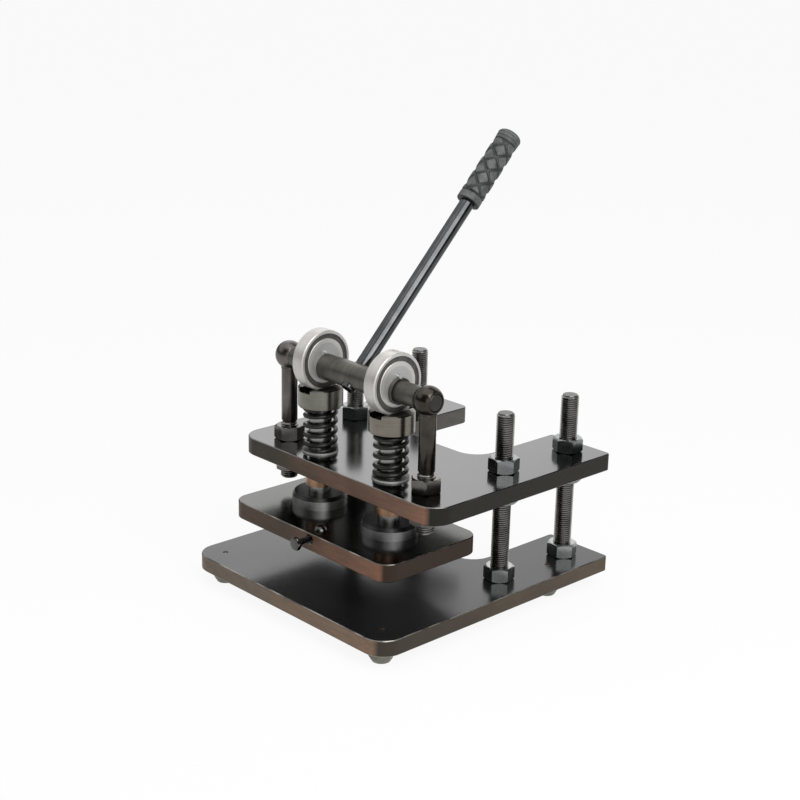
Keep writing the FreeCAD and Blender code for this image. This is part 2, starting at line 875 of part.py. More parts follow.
def press_pieces():
    """Press plate with its plungers and screws."""
    pieces = {"press_plate": press_plate()}
    pieces["die_stud_screw"] = die_stud_screw()
    pieces["die_clamp_screw"] = die_clamp_screw()
    for name, side in SIDES:
        middle = Vector(side * plunger_x, shaft_y, 0)
        pieces["plunger_rod_" + name] = placed(plunger_rod(), middle)
        pieces["plunger_flange_" + name] = placed(plunger_flange(), middle)
        pieces["plunger_cap_" + name] = placed(plunger_cap(), middle)
        pieces["plunger_screw_" + name] = placed(plunger_screw(), middle)
    return pieces


os.makedirs("parts", exist_ok=True)
for group in (stand_pieces(), upper_pieces(), shaft_pieces(), press_pieces()):
    for node, shape in group.items():
        shape.exportStep("parts/" + node + ".step")
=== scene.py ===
import math
from collections import namedtuple

import bmesh
import bpy
import numpy as np
from mathutils import Matrix, Vector


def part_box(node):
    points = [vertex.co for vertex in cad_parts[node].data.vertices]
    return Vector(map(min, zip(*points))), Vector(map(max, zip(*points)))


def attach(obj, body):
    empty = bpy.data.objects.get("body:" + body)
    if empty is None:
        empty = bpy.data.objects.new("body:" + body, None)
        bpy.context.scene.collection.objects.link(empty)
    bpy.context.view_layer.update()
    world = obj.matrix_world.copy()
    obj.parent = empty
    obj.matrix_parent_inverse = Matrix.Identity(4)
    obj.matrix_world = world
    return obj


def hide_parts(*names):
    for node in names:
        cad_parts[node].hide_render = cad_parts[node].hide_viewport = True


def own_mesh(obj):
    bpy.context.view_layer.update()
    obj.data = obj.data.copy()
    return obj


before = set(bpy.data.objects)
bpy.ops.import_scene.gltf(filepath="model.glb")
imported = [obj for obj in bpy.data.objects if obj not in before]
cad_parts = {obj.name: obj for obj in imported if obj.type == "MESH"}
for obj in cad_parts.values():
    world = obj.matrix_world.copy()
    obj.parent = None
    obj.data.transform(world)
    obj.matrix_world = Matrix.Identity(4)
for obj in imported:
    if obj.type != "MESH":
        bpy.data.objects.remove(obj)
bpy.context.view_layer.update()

# Hand press for steel-rule dies: finishes, cut threads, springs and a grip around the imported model.
# Metres throughout, +X along the eccentric shaft, -Y the operator's side, +Z up; angles in degrees.

MM = 0.001
SIDES = ("left", "right")
CORNERS = ("front_left", "front_right", "rear_left", "rear_right")
Y = Vector((0, 1, 0))
Z = Vector((0, 0, 1))
UNIT = (0.0, 1.0)
WHITE = (1.0, 1.0, 1.0)

# Camera
CAMERA_AZIMUTH = 46.35
CAMERA_ELEVATION = 17.40
CAMERA_ROLL = 1.35
CAMERA_PLACE = Vector((1177.8, -1130.9, 729.5)) * MM
CAMERA_LENS = 69.364
CAMERA_SENSOR = 36.0
CAMERA_CLIP = (0.01, 50.0)

# Room as mirrors see it: a window is full within its core on both sides of its azimuth, ends at its reach and
# fades over ROOM_FADE below its low and above its high elevation
Window = namedtuple("Window", "azimuth reach core low high strength")
ROOM_WINDOWS = (
    Window(azimuth=62.0, reach=44.0, core=16.0, low=-95.0, high=28.0, strength=1.35),
    Window(azimuth=209.0, reach=43.0, core=13.0, low=-95.0, high=45.0, strength=1.22),
    Window(azimuth=-80.0, reach=72.0, core=36.0, low=22.0, high=58.0, strength=0.95),
    Window(azimuth=0.0, reach=180.0, core=179.0, low=62.0, high=95.0, strength=0.4))
ROOM_FADE = 8.0
ROOM_SIDES = 0.08
ROOM_FLOOR = 0.85

# Backdrop and floor: the floor glows by FLOOR_GLOW_SHARE and keeps its shadow by the rest
BACKDROP = (0.957, 0.957, 0.957)
SOFT_LIGHT = 0.5
FLOOR_GLOW = (0.995, 0.995, 0.995)
FLOOR_GLOW_SHARE = 0.92
FLOOR_PALE = (0.9, 0.9, 0.9)
FLOOR_REACH = 60.0

# Lamps, aimed at the middle of the object; size and distance in metres, power in watts
Lamp = namedtuple("Lamp", "name azimuth elevation distance size power")
LAMPS = (
    Lamp("key", azimuth=76.0, elevation=40.0, distance=1.9, size=1.4, power=25.0),
    Lamp("overhead", azimuth=20.0, elevation=82.0, distance=1.7, size=1.6, power=8.0))
LAMP_TARGET = Vector((0, 0, 0.2))

# Meshes
MERGE_DISTANCE = 1e-6
SHORTEST_EDGE = 1e-7
THREAD_SMOOTH = 35.0
HEAD_SMOOTH = 30.0
SPRING_SMOOTH = 50.0
GRIP_SMOOTH = 60.0

# Threads: coarse pitch by size, and where along a pitch the crest and the root begin and end
COARSE_PITCHES = {20: 2.5 * MM, 8: 1.25 * MM}
THREAD_DEPTH_SHARE = 0.613
THREAD_PHASES = (0.0, 0.125, 0.4375, 0.6875)
THREAD_SIDES = 72
COLUMN_CHAMFERS = (2 * MM, 2 * MM)
EYE_THREAD = 20 * MM
EYE_THREAD_CHAMFERS = (1.5 * MM, 2 * MM)
EYE_THREAD_OVER_NUT = 3.6 * MM
CLAMP_THREAD = 8 * MM
CLAMP_THREAD_CHAMFERS = (0.2 * MM, 0.8 * MM)
CLAMP_HEAD_HEIGHT = 5.3 * MM

# Return springs
SPRING_CLOSED_PITCH = 5.5 * MM
SPRING_ACTIVE_TURNS = 3
SPRING_START_ANGLES = {"left": -40.0, "right": 108.0}
SPRING_GROUND = 1.4 * MM
SPRING_GROUND_TURNS = 0.8
SPRING_TURN_STEPS = 56
SPRING_WIRE_SIDES = 24

# Grip: a plain collar with a neck, a body of pads between grooves, a flared rim with rings
GRIP_SIDES = 192
GRIP_STEPS = 300
GRIP_COLLAR = 10.0 * MM
GRIP_COLLAR_RADIUS = 13.75 * MM
GRIP_LIP = 0.8 * MM
GRIP_LIP_CORNER = (0.3 * MM, 0.2 * MM)
GRIP_NECK_DEPTH = 0.9 * MM
GRIP_NECK_INSET = 0.8 * MM
GRIP_NECK_WIDTH = 0.6 * MM
GRIP_BODY_RADIUS = 13.9 * MM
GRIP_FADE = 1.5 * MM
GRIP_COLUMNS = 8
GRIP_ROW_PITCH = 19.4 * MM
GRIP_ROW_SQUEEZE = 1.08
GRIP_GROOVE = 1.25 * MM
GRIP_GROOVE_FLOOR = 0.4 * MM
GRIP_GROOVE_SLOPE = 2.2 * MM
GRIP_PAD_DOME = 0.2
GRIP_PAD_REACH = 8 * MM
GRIP_RIM = 14.0 * MM
GRIP_RIM_START = 0.5 * MM
GRIP_RIM_FLARE = 0.7
GRIP_RING_DEPTH = 0.45 * MM
GRIP_RING_PITCH = 4.2 * MM
GRIP_END_ROUND = 5.1 * MM
GRIP_END_STEPS = 10

# Black plates: how level a face is (0 on a cut edge, 1 on top) where bare edge and worn corner begin and end
PLATE_CUT = (0.35, 0.2)
PLATE_CORNER_BEGIN = (0.3, 0.5)
PLATE_CORNER_END = (0.97, 0.8)
PLATE_FRONT = (0.80, 0.93)
WEAR_SPAN = (0.42, 0.62)
WEAR_SHARES = (0.1, 0.9)
BLOTCH_SHARES = (0.8, 1.2)

# Black plates: where along X and Y their edges change tone, and the marks of the cutting
FRONT_EDGE_BLEND = (-0.15, 0.13)
FRONT_EDGE_POWER = 1.6
SIDE_EDGE_BLEND = (-0.12, 0.16)
INNER_EDGE_BLEND = (0.0, -0.04)
EDGE_DRIFT = 0.25
MILL_SCALE = (60.0, 60.0, 420.0)
MILL_TONE = (0.012, 0.010, 0.008)
MILL_SPAN = (0.35, 0.75)
MILL_SHARE = 0.3
MILL_DEPTH = 0.15 * MM
PLATE_WAVE_DEPTH = 0.05 * MM
PLATE_ROUGH_DRIFT = 0.07
PLATE_GRAIN_SPAN = (0.4, 0.7)
PLATE_ROUGH_GRAIN = 0.04
PLATE_BARE_ROUGH = 0.24

# Noise: features per metre, and the usual spans of its value
WEAR_SCALE = 40.0
BLOTCH_SCALE = 9.0
DRIFT_SCALE = 11.0
PLATE_GRAIN_SCALE = 600.0
PLATE_WAVE_SCALE = 30.0
STEEL_MOTTLE_SCALE = 60.0
STEEL_GRAIN_SCALE = 900.0
TURNING_SCALE = 2200.0
TURNING_BAND_SCALE = 330.0
TURNED_MOTTLE_SCALE = 45.0
BLOOM_SCALE = 110.0
PEBBLE_SCALE = 2600.0
NOISE_SPAN = (0.3, 0.7)
TONE_SPAN = (0.35, 0.65)

# Steel and rubber: how squarely a face lies across an axis to count as an end with painted shade, depths and
# shares of the grain, the painted shade in grip grooves, and the blend of the painted shade above a height
STEEL_END = 0.9
TURNED_END = 0.35
END_BLEND = 0.07
STEEL_GRAIN_DEPTH = 0.02 * MM
STEEL_MOTTLE_SHARE = 0.7
TURNING_BAND_SHARE = 0.35
PEBBLE_DEPTH = 0.06 * MM
GROOVE_SHADE = 0.45
PAINTED_SHADE_BLEND = 10 * MM


# Mesh tools

def add_object(name, data):
    """New object in the scene."""
    made = bpy.data.objects.new(name, data)
    bpy.context.scene.collection.objects.link(made)
    return made


def new_object(name, vertices, faces, smooth_angle):
    """Mesh object from points and faces, with doubles merged and shading split at sharp edges."""
    mesh = bpy.data.meshes.new(name)
    mesh.from_pydata([tuple(point) for point in vertices], [], faces)
    made = add_object(name, mesh)
    work = bmesh.new()
    work.from_mesh(mesh)
    bmesh.ops.remove_doubles(work, verts=work.verts, dist=MERGE_DISTANCE)
    bmesh.ops.dissolve_degenerate(work, edges=work.edges, dist=SHORTEST_EDGE)
    close_up(work, mesh)
    shade(mesh, smooth_angle)
    return made


def trimmed_copy(name, node, point, normal):
    """Copy of a node's mesh without what lies beyond a plane, closed again there."""
    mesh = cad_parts[node].data.copy()
    mesh.name = name
    work = bmesh.new()
    work.from_mesh(mesh)
    bmesh.ops.remove_doubles(work, verts=work.verts, dist=MERGE_DISTANCE)
    parts = list(work.verts) + list(work.edges) + list(work.faces)
    bmesh.ops.bisect_plane(work, geom=parts, plane_co=point, plane_no=normal, clear_outer=True)
    close_up(work, mesh)
    made = add_object(name, mesh)
    shade(mesh, HEAD_SMOOTH)
    return made


def close_up(work, mesh):
    """Fills open rims, turns the faces outwards and writes the work to its mesh."""
    rims = [edge for edge in work.edges if edge.is_boundary]
    if rims:
        bmesh.ops.holes_fill(work, edges=rims)
    bmesh.ops.recalc_face_normals(work, faces=work.faces)
    work.to_mesh(mesh)
    work.free()


def shade(mesh, angle):
    """Smooth shading that breaks at edges sharper than the angle."""
    mesh.polygons.foreach_set("use_smooth", [True] * len(mesh.polygons))
    mesh.set_sharp_from_angle(angle=math.radians(angle))


def ring_faces(rings, sides):
    """Faces between successive rings of as many points each."""
    faces = []
    for i in range(rings - 1):
        for k in range(sides):
            here = i * sides + k
            ahead = i * sides + (k + 1) % sides
            faces.append((here, ahead, ahead + sides, here + sides))
    return faces


def placed(vertices, origin, direction):
    """Points moved to origin with their +Z laid along direction."""
    turn = Z.rotation_difference(direction).to_matrix()
    return [turn @ Vector(point) + origin for point in vertices]


def points_of(node):
    """All points of a node as an array."""
    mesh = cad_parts[node].data
    flat = np.zeros(len(mesh.vertices) * 3)
    mesh.vertices.foreach_get("co", flat)
    return flat.reshape(-1, 3)


def middle_of(node):
    """Middle of a node's box."""
    low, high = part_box(node)
    return (low + high) / 2


def dress(piece, body, material, slot, *replaced):
    """Gives a new piece its body and material and hides the nodes that it stands for; slot is not used."""
    piece.data.materials.clear()
    piece.data.materials.append(material)
    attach(piece, body)
    if replaced:
        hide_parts(*replaced)


# Threads

def thread_mesh(diameter, length, chamfers):
    """Points and faces of a threaded bar along +Z; chamfers are those of its low and high end."""
    pitch = COARSE_PITCHES[round(diameter / MM)]
    radius = diameter / 2
    root = radius - THREAD_DEPTH_SHARE * pitch
    limits = (radius, radius, root, root)
    rows = len(THREAD_PHASES)
    turns = int(length / pitch) + 3
    low_end = min(radius - chamfers[0], root)
    high_end = min(radius - chamfers[1], root)
    vertices = []
    for turn in range(-1, turns):
        for phase, limit in zip(THREAD_PHASES, limits):
            for k in range(THREAD_SIDES):
                z = (turn + phase + k / THREAD_SIDES) * pitch
                angle = 2 * math.pi * k / THREAD_SIDES
                reach = min(limit, low_end + z, high_end + (length - z))
                if z <= 0:
                    z, reach = 0, low_end
                elif z >= length:
                    z, reach = length, high_end
                vertices.append((reach * math.cos(angle), reach * math.sin(angle), z))
    count = (turns + 1) * rows
    faces = []
    for i in range(count - 1):
        for k in range(THREAD_SIDES - 1):
            here = i * THREAD_SIDES + k
            faces.append((here, here + 1, here + THREAD_SIDES + 1, here + THREAD_SIDES))
        # The last column meets the first one of the next turn
        last = i * THREAD_SIDES + THREAD_SIDES - 1
        ahead = (i + rows) * THREAD_SIDES
        if i + rows + 1 < count:
            faces.append((last, ahead, ahead + THREAD_SIDES, last + THREAD_SIDES))
    return vertices, faces


def threaded_bar(name, diameter, length, chamfers, origin, direction=Z):
    """Threaded bar as an object."""
    vertices, faces = thread_mesh(diameter, length, chamfers)
    return new_object(name, placed(vertices, origin, direction), faces, THREAD_SMOOTH)


# Node graphs

def feed(tree, socket, value):
    """Links a socket to another node's output, or sets its own value."""
    if isinstance(value, bpy.types.NodeSocket):
        tree.links.new(value, socket)
    else:
        socket.default_value = value


def graph_node(tree, kind, inputs=None, **settings):
    """Adds a node; inputs are numbers, colours or sockets by name or number."""
    made = tree.nodes.new(kind)
    for key, value in settings.items():
        setattr(made, key, value)
    for key, value in (inputs or {}).items():
        feed(tree, made.inputs[key], value)
    return made


def reckon(tree, operation, first, second=0.0):
    """Result of one arithmetic operation."""
    return graph_node(tree, "ShaderNodeMath", {0: first, 1: second}, operation=operation).outputs[0]


def reckon_vector(tree, operation, *values):
    """Result of one vector operation."""
    made = graph_node(tree, "ShaderNodeVectorMath", dict(enumerate(values)), operation=operation)
    return made.outputs["Value" if operation in ("LENGTH", "DOT_PRODUCT") else "Vector"]


def part_of(tree, vector, axis):
    """One of a vector's parts: X, Y or Z."""
    return graph_node(tree, "ShaderNodeSeparateXYZ", {0: vector}).outputs[axis]


def opaque(colour):
    """Colour with full cover; a socket stays as it is."""
    return colour if isinstance(colour, bpy.types.NodeSocket) else (*colour, 1.0)


def glow(tree, kind, colour, strength):
    """Background or emission shader of a colour and strength."""
    return graph_node(tree, kind, {"Color": opaque(colour), "Strength": strength}).outputs[0]


def blend(tree, share, first, second):
    """Shader between two others."""
    return graph_node(tree, "ShaderNodeMixShader", {0: share, 1: first, 2: second}).outputs[0]


class Finish:
    """One procedural material built around a Principled shader; scales are features per metre."""

    def __init__(self, name, ior=1.5, metallic=0.0):
        self.material = bpy.data.materials.new(name)
        self.material.use_nodes = True
        self.tree = self.material.node_tree
        self.surface = self.tree.nodes["Principled BSDF"]
        self.set(IOR=ior, Metallic=metallic)
        coordinates = self.add("ShaderNodeTexCoord")
        self.place = coordinates.outputs["Object"]
        self.outward = coordinates.outputs["Normal"]

    def set(self, **sockets):
        """Links or sets the shader's sockets, named with underscores."""
        for key, value in sockets.items():
            feed(self.tree, self.surface.inputs[key.replace("_", " ")], value)

    def add(self, kind, inputs=None, **settings):
        return graph_node(self.tree, kind, inputs, **settings)

    def math(self, operation, first, second=0.0):
        return reckon(self.tree, operation, first, second)

    def vector(self, operation, *values):
        return reckon_vector(self.tree, operation, *values)

    def part(self, vector, axis):
        return part_of(self.tree, vector, axis)

    def noise(self, scale, detail, place=None):
        """Noise from 0 to 1."""
        inputs = {"Vector": place or self.place, "Scale": scale, "Detail": detail, "Roughness": 0.5}
        return self.add("ShaderNodeTexNoise", inputs).outputs["Fac"]

    def mapped(self, value, span, low=0.0, high=1.0):
        """Value mapped from a span to low and high, and held within them."""
        inputs = {0: value, 1: span[0], 2: span[1], 3: low, 4: high}
        return self.add("ShaderNodeMapRange", inputs).outputs[0]

    def weighed(self, first, second, share):
        """Two noises in a sum, by the first one's share, stretched to the full range."""
        first = self.math("MULTIPLY", first, share)
        second = self.math("MULTIPLY", second, 1.0 - share)
        return self.mapped(self.math("ADD", first, second), TONE_SPAN)

    def mix(self, share, first, second):
        """Colour between two others."""
        node = self.add("ShaderNodeMix", data_type="RGBA")
        sockets = {socket.identifier: socket for socket in [*node.inputs, *node.outputs]}
        feed(self.tree, sockets["Factor_Float"], share)
        feed(self.tree, sockets["A_Color"], opaque(first))
        feed(self.tree, sockets["B_Color"], opaque(second))
        return sockets["Result_Color"]

    def dimmed(self, colour, share):
        """Colour times a share."""
        inputs = {0: colour, "Scale": share}
        return self.add("ShaderNodeVectorMath", inputs, operation="SCALE").outputs[0]

    def bump(self, height, distance, strength, normal=None):
        """Bump from a height from 0 to 1, with distance as its real depth, over another bump."""
        inputs = {"Height": height, "Distance": distance, "Strength": strength}
        if normal is not None:
            inputs["Normal"] = normal
        return self.add("ShaderNodeBump", inputs).outputs[0]

    def facing(self, axis):
        """How squarely the surface faces along an axis, from 0 to 1."""
        return self.math("ABSOLUTE", self.part(self.outward, axis))

    def paint_end_shade(self, axis, share, colour, square):
        """The colour, with only a share of it left on faces that lie squarely across an axis: painted shade.
        """
        return self.dimmed(colour, self.mapped(self.facing(axis), (square, square + END_BLEND), 1.0, share))

    def turned_place(self, centre, axis):
        """Point made of the distance from an axis and the place along it."""
        shift = self.vector("SUBTRACT", self.place, centre)
        flat = self.vector("MULTIPLY", shift, [float(letter != axis) for letter in "XYZ"])
        inputs = {0: self.vector("LENGTH", flat), 1: self.part(shift, axis)}
        return self.add("ShaderNodeCombineXYZ", inputs).outputs[0]


# Materials

def plate_finish(name, ior, sheen, metal, smooth, front, side, inner, rim):
    """Black plate: sheen, metal and smooth are its faces' colour, metallic share and roughness; front, side
    and inner colour its bare cut edges, front and side as two ends of a blend; rim colours worn corners."""
    finish = Finish(name, ior=ior)
    level = finish.facing("Z")
    cut = finish.mapped(level, PLATE_CUT)
    corner = finish.mapped(level, PLATE_CORNER_BEGIN)
    corner = finish.math("MULTIPLY", corner, finish.mapped(level, PLATE_CORNER_END))
    patches = finish.noise(WEAR_SCALE, 4.0)
    worn = finish.math("MULTIPLY", corner, finish.mapped(patches, WEAR_SPAN, *WEAR_SHARES))

    blotch = finish.noise(BLOTCH_SCALE, 4.0)
    darker, lighter = BLOTCH_SHARES
    face = finish.mix(blotch, [darker * part for part in sheen], [lighter * part for part in sheen])

    x = finish.part(finish.place, "X")
    y = finish.part(finish.place, "Y")
    drift = finish.mapped(finish.noise(DRIFT_SCALE, 3.0), NOISE_SPAN, -EDGE_DRIFT, EDGE_DRIFT)
    across = finish.math("ADD", finish.mapped(x, FRONT_EDGE_BLEND), drift)
    along = finish.math("ADD", finish.mapped(y, SIDE_EDGE_BLEND), drift)
    front_tone = finish.mix(finish.math("POWER", finish.mapped(across, UNIT), FRONT_EDGE_POWER), *front)
    side_tone = finish.mix(finish.mapped(along, UNIT), *side)
    side_tone = finish.mix(finish.mapped(x, INNER_EDGE_BLEND), side_tone, inner)
    edge = finish.mix(finish.mapped(finish.facing("Y"), PLATE_FRONT), side_tone, front_tone)

    mill = finish.noise(1.0, 3.0, finish.vector("MULTIPLY", finish.place, MILL_SCALE))
    edge = finish.mix(finish.mapped(mill, MILL_SPAN, 0.0, MILL_SHARE), edge, MILL_TONE)
    colour = finish.mix(worn, finish.mix(cut, face, edge), rim)
    face_metal = finish.math("MULTIPLY", finish.mapped(cut, UNIT, 1.0, 0.0), metal)
    metallic = finish.math("MAXIMUM", face_metal, worn)

    rough = finish.mapped(blotch, NOISE_SPAN, smooth, smooth + PLATE_ROUGH_DRIFT)
    grain = finish.mapped(finish.noise(PLATE_GRAIN_SCALE, 3.0), PLATE_GRAIN_SPAN, 0.0, PLATE_ROUGH_GRAIN)
    bare = finish.math("MULTIPLY", finish.math("MAXIMUM", cut, worn), PLATE_BARE_ROUGH)
    rough = finish.math("ADD", finish.math("ADD", rough, grain), bare)

    waves = finish.bump(finish.noise(PLATE_WAVE_SCALE, 2.0), PLATE_WAVE_DEPTH, 1.0)
    normal = finish.bump(finish.math("MULTIPLY", mill, cut), MILL_DEPTH, 0.7, waves)
    finish.set(Base_Color=colour, Metallic=metallic, Roughness=rough, Normal=normal)
    return finish.material


def steel_finish(name, dark, light, rough, metallic=1.0, ends=None, oiled=None):
    """Mottled steel: its painted end shade is the share of colour left on level faces; its painted shade
    above is the (height, share) of a darker upper part, painted shade where a rod stands inside its spring."""
    finish = Finish(name, metallic=metallic)
    mottle = finish.noise(STEEL_MOTTLE_SCALE, 4.0)
    grain = finish.noise(STEEL_GRAIN_SCALE, 3.0)
    colour = finish.mix(finish.weighed(mottle, grain, STEEL_MOTTLE_SHARE), dark, light)
    # Painted shade: level faces keep only a share of their colour
    if ends:
        colour = finish.paint_end_shade("Z", ends, colour, STEEL_END)
    # Painted shade: darker above a height, where a rod stands inside its spring
    if oiled:
        height, share = oiled
        z = finish.part(finish.place, "Z")
        colour = finish.dimmed(colour, finish.mapped(z, (height, height + PAINTED_SHADE_BLEND), 1.0, share))
    finish.set(
        Base_Color=colour, Roughness=finish.mapped(mottle, NOISE_SPAN, *rough),
        Normal=finish.bump(grain, STEEL_GRAIN_DEPTH, 0.6))
    return finish.material


def turned_finish(name, dark, light, rough, centre, axis, depth=0.02 * MM, metallic=1.0, ends=None):
    """Turned steel, with fine rings round an axis over a slight mottle: its painted end shade is the share of
    colour left on its end faces."""
    finish = Finish(name, metallic=metallic)
    place = finish.turned_place(centre, axis)
    cuts = finish.noise(TURNING_SCALE, 2.0, place)
    bands = finish.noise(TURNING_BAND_SCALE, 3.0, place)
    mottle = finish.noise(TURNED_MOTTLE_SCALE, 4.0)
    colour = finish.mix(finish.weighed(bands, mottle, TURNING_BAND_SHARE), dark, light)
    # Painted shade: end faces across the axis keep only a share of their colour
    if ends:
        colour = finish.paint_end_shade(axis, ends, colour, TURNED_END)
    finish.set(
        Base_Color=colour, Roughness=finish.mapped(cuts, NOISE_SPAN, *rough),
        Normal=finish.bump(cuts, depth, 0.7))
    return finish.material


def rubber_finish(name, dark, light, rough, grooves=None):
    """Matt rubber with a faint bloom; grooves are (point, direction, low and high radius) of a grip, whose
    grooves get painted shade.
    """
    finish = Finish(name)
    bloom = finish.mapped(finish.noise(BLOOM_SCALE, 4.0), NOISE_SPAN)
    colour = finish.mix(bloom, dark, light)
    if grooves:
        point, direction, low, high = grooves
        shift = finish.vector("SUBTRACT", finish.place, point)
        radius = finish.vector("LENGTH", finish.vector("CROSS_PRODUCT", shift, direction))
        # Painted shade: darker towards the grip's axis, deep in its grooves
        shaded = [GROOVE_SHADE * part for part in dark]
        colour = finish.mix(finish.mapped(radius, (low, high)), shaded, colour)
    finish.set(
        Base_Color=colour, Roughness=finish.mapped(bloom, UNIT, *rough),
        Normal=finish.bump(finish.noise(PEBBLE_SCALE, 2.0), PEBBLE_DEPTH, 0.8))
    return finish.material


# Studio

def pointing(azimuth, elevation=0.0):
    """Direction away from the object: azimuth 0 is in front of it, 90 at its right."""
    azimuth = math.radians(azimuth)
    elevation = math.radians(elevation)
    level = math.cos(elevation)
    return Vector((math.sin(azimuth) * level, -math.cos(azimuth) * level, math.sin(elevation)))


def make_camera():
    """Camera at the photograph's viewpoint."""
    roll = math.radians(CAMERA_ROLL)
    level = pointing(CAMERA_AZIMUTH + 90)
    back = pointing(CAMERA_AZIMUTH, CAMERA_ELEVATION)
    right = level * math.cos(roll) + back.cross(level) * math.sin(roll)
    turn = Matrix((right, back.cross(right), back)).transposed()
    data = bpy.data.cameras.new("camera")
    data.lens = CAMERA_LENS
    data.sensor_width = CAMERA_SENSOR
    data.clip_start, data.clip_end = CAMERA_CLIP
    camera = add_object("camera", data)
    camera.matrix_world = Matrix.Translation(CAMERA_PLACE) @ turn.to_4x4()
    bpy.context.scene.camera = camera


def soft_step(tree, value, low, high, top=1.0):
    """0 below low, top above high and smooth between them."""
    inputs = {0: value, 1: low, 2: high, 3: 0.0, 4: top}
    return graph_node(tree, "ShaderNodeMapRange", inputs, interpolation_type="SMOOTHSTEP").outputs[0]


def window_light(tree, level, height, window):
    """Brightness of a window for a level direction and a height in radians."""
    facing = reckon_vector(tree, "DOT_PRODUCT", level, pointing(window.azimuth))
    reach = math.cos(math.radians(window.reach))
    core = math.cos(math.radians(window.core))
    sides = soft_step(tree, facing, reach, core, window.strength)
    above = soft_step(tree, height, math.radians(window.low - ROOM_FADE), math.radians(window.low))
    depth = reckon(tree, "MULTIPLY", height, -1.0)
    below = soft_step(tree, depth, math.radians(-window.high - ROOM_FADE), math.radians(-window.high))
    return reckon(tree, "MULTIPLY", sides, reckon(tree, "MULTIPLY", above, below))


def room_light(tree, direction):
    """Brightness of the room by direction: its windows over a dim level all round."""
    level = reckon_vector(tree, "NORMALIZE", reckon_vector(tree, "MULTIPLY", direction, (1.0, 1.0, 0.0)))
    height = reckon(tree, "ARCSINE", part_of(tree, direction, "Z"))
    total = ROOM_SIDES
    for window in ROOM_WINDOWS:
        total = reckon(tree, "ADD", window_light(tree, level, height, window), total)
    return total


def mirror_rays(tree, path):
    """1 for rays that mirror or look through, 0 for the rest."""
    return reckon(tree, "MAXIMUM", path.outputs["Is Glossy Ray"], path.outputs["Is Transmission Ray"])


def make_world():
    """White backdrop for the camera, a room with windows for mirrors, a soft level for light."""
    world = bpy.data.worlds.new("studio")
    bpy.context.scene.world = world
    world.use_nodes = True
    tree = world.node_tree
    tree.nodes.clear()
    path = graph_node(tree, "ShaderNodeLightPath")
    direction = graph_node(tree, "ShaderNodeTexCoord").outputs["Generated"]
    mirrored = glow(tree, "ShaderNodeBackground", WHITE, room_light(tree, direction))
    soft = glow(tree, "ShaderNodeBackground", WHITE, SOFT_LIGHT)
    backdrop = glow(tree, "ShaderNodeBackground", BACKDROP, 1.0)
    lit = blend(tree, mirror_rays(tree, path), soft, mirrored)
    surface = blend(tree, path.outputs["Is Camera Ray"], lit, backdrop)
    graph_node(tree, "ShaderNodeOutputWorld", {"Surface": surface})


def make_floor():
    """Pale floor that keeps a soft shadow and looks pale in mirrors."""
    corners = [(x * FLOOR_REACH, y * FLOOR_REACH, 0) for x, y in ((-1, -1), (1, -1), (1, 1), (-1, 1))]
    mesh = bpy.data.meshes.new("floor")
    mesh.from_pydata(corners, [], [(0, 1, 2, 3)])
    floor = add_object("floor", mesh)
    material = bpy.data.materials.new("floor_white")
    material.use_nodes = True
    tree = material.node_tree
    tree.nodes.clear()
    path = graph_node(tree, "ShaderNodeLightPath")
    seen_ray = path.outputs["Is Camera Ray"]
    pale = graph_node(tree, "ShaderNodeBsdfDiffuse", {"Color": opaque(FLOOR_PALE)}).outputs[0]
    seen = glow(tree, "ShaderNodeEmission", FLOOR_GLOW, 1.0)
    mirrored = glow(tree, "ShaderNodeEmission", WHITE, ROOM_FLOOR)
    shown = blend(tree, seen_ray, mirrored, seen)
    share = reckon(tree, "MAXIMUM", seen_ray, mirror_rays(tree, path))
    share = reckon(tree, "MULTIPLY", share, FLOOR_GLOW_SHARE)
    surface = blend(tree, share, pale, shown)
    graph_node(tree, "ShaderNodeOutputMaterial", {"Surface": surface})
    mesh.materials.append(material)


def make_lamp(lamp):
    """Square soft light."""
    data = bpy.data.lights.new(lamp.name, "AREA")
    data.shape = "SQUARE"
    data.size = lamp.size
    data.energy = lamp.power
    away = pointing(lamp.azimuth, lamp.elevation)
    light = add_object(lamp.name, data)
    light.location = LAMP_TARGET + away * lamp.distance
    light.rotation_mode = "QUATERNION"
    light.rotation_quaternion = away.to_track_quat("Z", "Y")


bpy.context.scene.view_settings.view_transform = "Standard"
make_camera()
make_world()
make_floor()
for lamp in LAMPS:
    make_lamp(lamp)


# Places that the finishes and pieces follow

def lever_axis():
    """Direction of the lever, square to the shaft."""
    axis = Vector(points_of("lever_rod").mean(axis=0)) - SHAFT_CENTRE
    axis.x = 0
    return axis.normalized()


SHAFT_CENTRE = middle_of("cam_shaft")
SHAFT_CENTRE.x = 0
ECCENTRIC_CENTRE = middle_of("bearing_outer_ring_left")
ECCENTRIC_CENTRE.x = 0
PLUNGER_PLACES = {side: middle_of("plunger_rod_" + side) for side in SIDES}
LEVER_AXIS = lever_axis()

# Finishes: name, darkest and lightest colour, lowest and highest roughness

